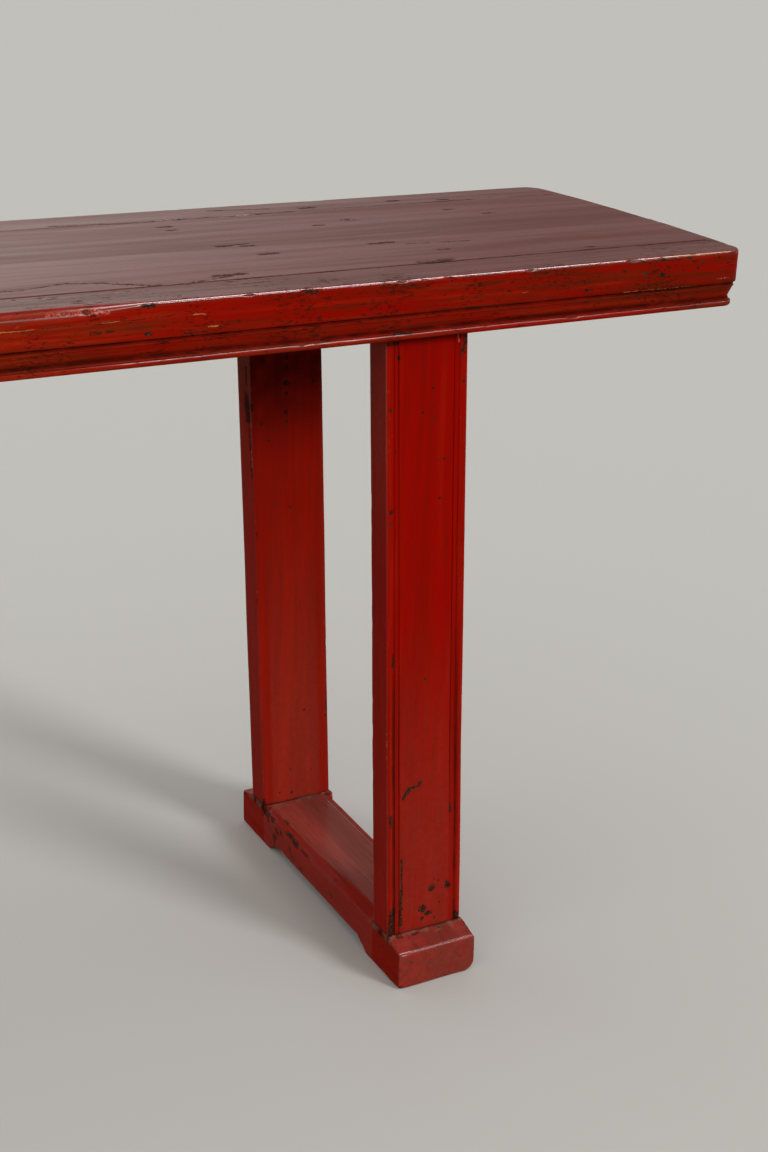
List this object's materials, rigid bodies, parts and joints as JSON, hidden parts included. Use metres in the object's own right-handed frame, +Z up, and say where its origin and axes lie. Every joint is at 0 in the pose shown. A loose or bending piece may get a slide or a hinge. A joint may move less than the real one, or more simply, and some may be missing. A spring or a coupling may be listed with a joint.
{
  "type": "altar table",
  "caption": "Long narrow altar table: a thick top with a moulded edge rests on splayed board legs tenoned into foot rails, to display or hold things against a wall.",
  "frame": {"origin": "on the floor under the middle of the table top", "axes": "+X along the table's length, +Y from the front edge to the rear edge, +Z up"},
  "size_m": [2.16, 0.486, 0.915],
  "materials": {
    "red_lacquer": "worn low-gloss red lacquer over pine or elm, with rubbed arrises and small dark chips",
    "bare_wood": "planed softwood without lacquer, darkened by age"
  },
  "bodies": {
    "root": {"foot_rail_left": "red_lacquer", "foot_rail_right": "red_lacquer", "leg_front_left": "red_lacquer", "leg_rear_left": "red_lacquer", "leg_front_right": "red_lacquer", "leg_rear_right": "red_lacquer", "front_edge_rail": "red_lacquer", "rear_edge_rail": "red_lacquer", "left_end_rail": "red_lacquer", "right_end_rail": "red_lacquer", "centre_board": "red_lacquer", "foot_wedges_left": "bare_wood", "foot_wedges_right": "bare_wood", "batten_left": "bare_wood", "batten_mid_left": "bare_wood", "batten_centre": "bare_wood", "batten_mid_right": "bare_wood", "batten_right": "bare_wood"}
  },
  "joints": []
}
